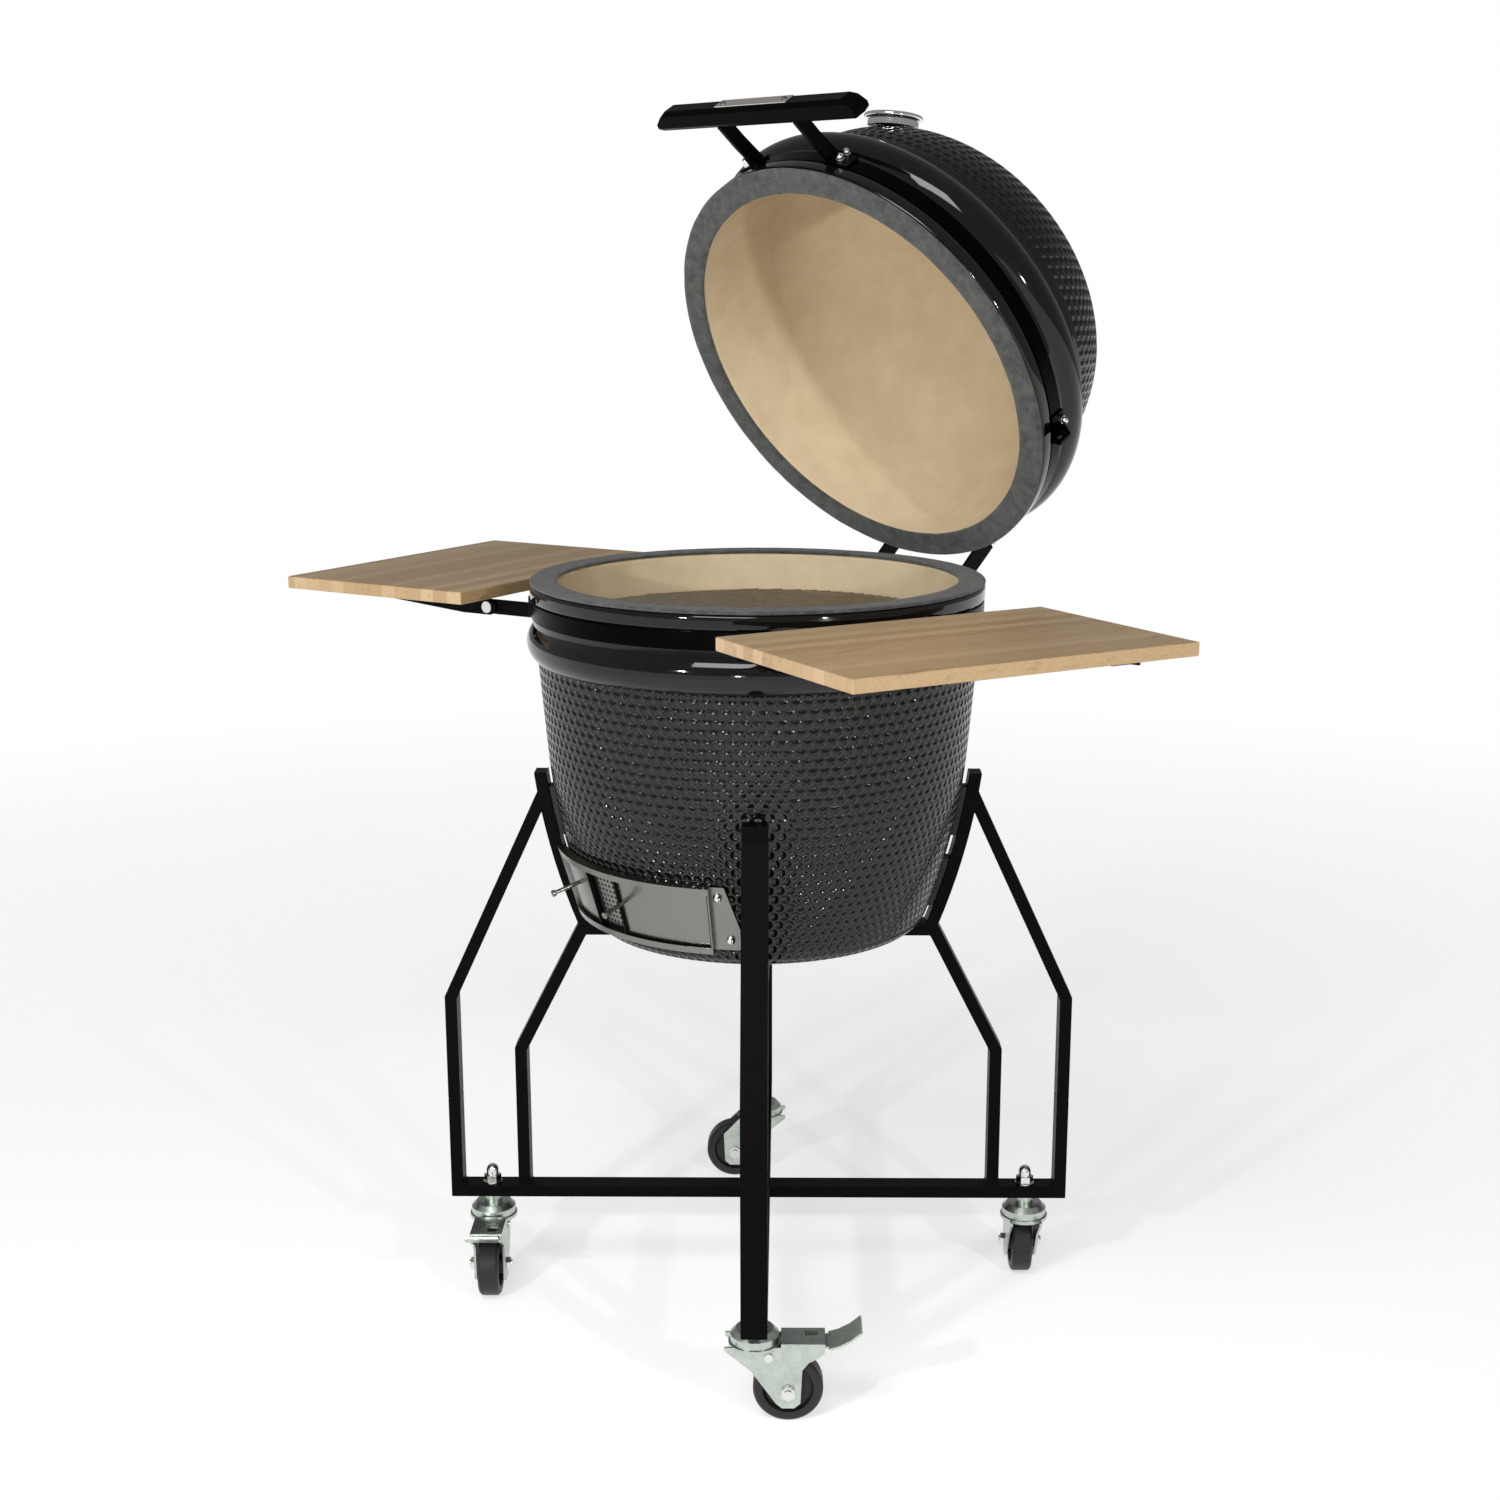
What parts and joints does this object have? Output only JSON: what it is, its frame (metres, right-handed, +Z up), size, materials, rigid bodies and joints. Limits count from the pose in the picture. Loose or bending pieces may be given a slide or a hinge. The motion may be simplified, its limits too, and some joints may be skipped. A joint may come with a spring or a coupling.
{
  "type": "kamado grill",
  "caption": "Egg-shaped ceramic charcoal grill with hinged lid, fold-down side shelves and a sliding draft door, on a welded four-leg stand with swivel casters.",
  "frame": {"origin": "on the floor, under the middle of the outline with the lid open; the bowl axis is 57 mm in front of it", "axes": "+Z up, -Y the front (draft door and handle), +Y the lid hinge, +X the right shelf"},
  "size_m": [1.1828, 0.8072, 1.4644],
  "materials": {
    "frame_black": "satin black powder coat",
    "plate_black": "satin black powder coat",
    "sleeve": "moulded black inserts",
    "pad": "black heat-proof pad",
    "zinc": "zinc plated, slightly yellow",
    "cap_nut": "polished",
    "wheel_grey": "dark grey moulded wheel",
    "glaze": "dark grey gloss glaze",
    "clay": "unglazed cream fireclay",
    "felt": "mottled grey felt",
    "stainless": "brushed stainless",
    "iron": "cast iron",
    "grid_steel": "stainless rod",
    "spring_steel": "dark spring steel",
    "bamboo": "lacquered bamboo",
    "handle_black": "satin black bar",
    "plate_plain": "blank brushed plate",
    "chrome": "polished",
    "dial": "white dial",
    "glass": "clear",
    "vent_iron": "black coated cast vent"
  },
  "bodies": {
    "stand_and_bowl": {"base_cross": "frame_black", "leg_frame_a": "frame_black", "leg_frame_b": "frame_black", "post_sleeves": "sleeve", "cradle_pads": "pad", "caster_tops": "zinc", "caster_cap_nuts": "cap_nut", "bowl": "glaze", "bowl_gasket": "felt", "bowl_band": "plate_black", "draft_frame": "stainless", "draft_screen": "stainless", "draft_bolts": "stainless", "firebox": "clay", "fire_ring": "clay", "charcoal_grate": "iron", "hinge_lower": "plate_black", "hinge_pin": "cap_nut", "hinge_springs": "spring_steel", "shelf_clips": "plate_black", "shelf_bolts": "cap_nut"},
    "lid": {"lid_dome": "glaze", "lid_gasket": "felt", "lid_band": "plate_black", "lid_band_nuts": "cap_nut", "hinge_upper": "plate_black", "handle_arms": "plate_black", "handle_bar": "handle_black", "handle_plate": "plate_plain", "handle_screws": "zinc", "thermometer_case": "chrome", "thermometer_bezel": "chrome", "thermometer_dial": "dial", "thermometer_glass": "glass", "vent_base": "vent_iron", "vent_bolt": "zinc"},
    "vent_wheel": {"vent_disc": "vent_iron"},
    "grid": {"cooking_grid": "grid_steel"},
    "door_left": {"draft_door_left": "stainless"},
    "door_right": {"draft_door_right": "stainless"},
    "shelf_left": {"shelf_board_left": "bamboo", "shelf_arms_left": "plate_black", "shelf_screws_left": "zinc"},
    "shelf_right": {"shelf_board_right": "bamboo", "shelf_arms_right": "plate_black", "shelf_screws_right": "zinc"},
    "caster_rear_right": {"fork_rear_right": "zinc", "axle_rear_right": "zinc"},
    "wheel_rear_right": {"wheel_rear_right": "wheel_grey"},
    "caster_rear_left": {"fork_rear_left": "zinc", "axle_rear_left": "zinc"},
    "wheel_rear_left": {"wheel_rear_left": "wheel_grey"},
    "caster_front_left": {"fork_front_left": "zinc", "axle_front_left": "zinc"},
    "wheel_front_left": {"wheel_front_left": "wheel_grey"},
    "pedal_front_left": {"brake_pedal_front_left": "zinc"},
    "caster_front_right": {"fork_front_right": "zinc", "axle_front_right": "zinc"},
    "wheel_front_right": {"wheel_front_right": "wheel_grey"},
    "pedal_front_right": {"brake_pedal_front_right": "zinc"}
  },
  "joints": [
    {"name": "lid_hinge", "type": "hinge", "parent": "stand_and_bowl", "child": "lid", "pos_m": [0, 0.229, 0.89], "axis": [1, 0, 0], "range_deg": [0, 60], "stiffness_Nm_per_rad": 60},
    {"name": "vent_turn", "type": "hinge", "parent": "lid", "child": "vent_wheel", "pos_m": [0, 0.35447, 1.29268], "axis": [0, 0.866, 0.5], "range_deg": [0, 45]},
    {"name": "grid_lift", "type": "slide", "parent": "stand_and_bowl", "child": "grid", "axis": [0, 0, 1], "range_m": [0, 0.12]},
    {"name": "draft_door_left_slide", "type": "hinge", "parent": "stand_and_bowl", "child": "door_left", "pos_m": [0, -0.057, 0.56], "axis": [0, 0, 1], "range_deg": [0, 5.9]},
    {"name": "draft_door_right_slide", "type": "hinge", "parent": "stand_and_bowl", "child": "door_right", "pos_m": [0, -0.057, 0.56], "axis": [0, 0, 1], "range_deg": [-5.9, 0]},
    {"name": "shelf_left_fold", "type": "hinge", "parent": "stand_and_bowl", "child": "shelf_left", "pos_m": [-0.28591, -0.13361, 0.876], "axis": [0.2588, -0.9659, 0], "range_deg": [0, 90]},
    {"name": "shelf_right_fold", "type": "hinge", "parent": "stand_and_bowl", "child": "shelf_right", "pos_m": [0.28591, -0.13361, 0.876], "axis": [0.2588, 0.9659, 0], "range_deg": [0, 90]},
    {"name": "caster_rear_right_swivel", "type": "hinge", "parent": "stand_and_bowl", "child": "caster_rear_right", "pos_m": [0.24112, 0.18412, 0.1], "axis": [0, 0, 1], "continuous": true},
    {"name": "wheel_rear_right_spin", "type": "hinge", "parent": "caster_rear_right", "child": "wheel_rear_right", "pos_m": [0.21425, 0.21099, 0.04], "axis": [0.7071, 0.7071, 0], "continuous": true},
    {"name": "caster_rear_left_swivel", "type": "hinge", "parent": "stand_and_bowl", "child": "caster_rear_left", "pos_m": [-0.24112, 0.18412, 0.1], "axis": [0, 0, 1], "continuous": true},
    {"name": "wheel_rear_left_spin", "type": "hinge", "parent": "caster_rear_left", "child": "wheel_rear_left", "pos_m": [-0.26799, 0.15725, 0.04], "axis": [-0.7071, 0.7071, 0], "continuous": true},
    {"name": "caster_front_left_swivel", "type": "hinge", "parent": "stand_and_bowl", "child": "caster_front_left", "pos_m": [-0.24112, -0.29812, 0.1], "axis": [0, 0, 1], "continuous": true},
    {"name": "wheel_front_left_spin", "type": "hinge", "parent": "caster_front_left", "child": "wheel_front_left", "pos_m": [-0.21425, -0.32499, 0.04], "axis": [-0.7071, -0.7071, 0], "continuous": true},
    {"name": "brake_front_left_press", "type": "hinge", "parent": "caster_front_left", "child": "pedal_front_left", "pos_m": [-0.22981, -0.30944, 0.083], "axis": [-0.7071, -0.7071, 0], "range_deg": [-8, 0]},
    {"name": "caster_front_right_swivel", "type": "hinge", "parent": "stand_and_bowl", "child": "caster_front_right", "pos_m": [0.24112, -0.29812, 0.1], "axis": [0, 0, 1], "continuous": true},
    {"name": "wheel_front_right_spin", "type": "hinge", "parent": "caster_front_right", "child": "wheel_front_right", "pos_m": [0.26799, -0.27125, 0.04], "axis": [0.7071, -0.7071, 0], "continuous": true},
    {"name": "brake_front_right_press", "type": "hinge", "parent": "caster_front_right", "child": "pedal_front_right", "pos_m": [0.25244, -0.28681, 0.083], "axis": [0.7071, -0.7071, 0], "range_deg": [-8, 0]}
  ]
}
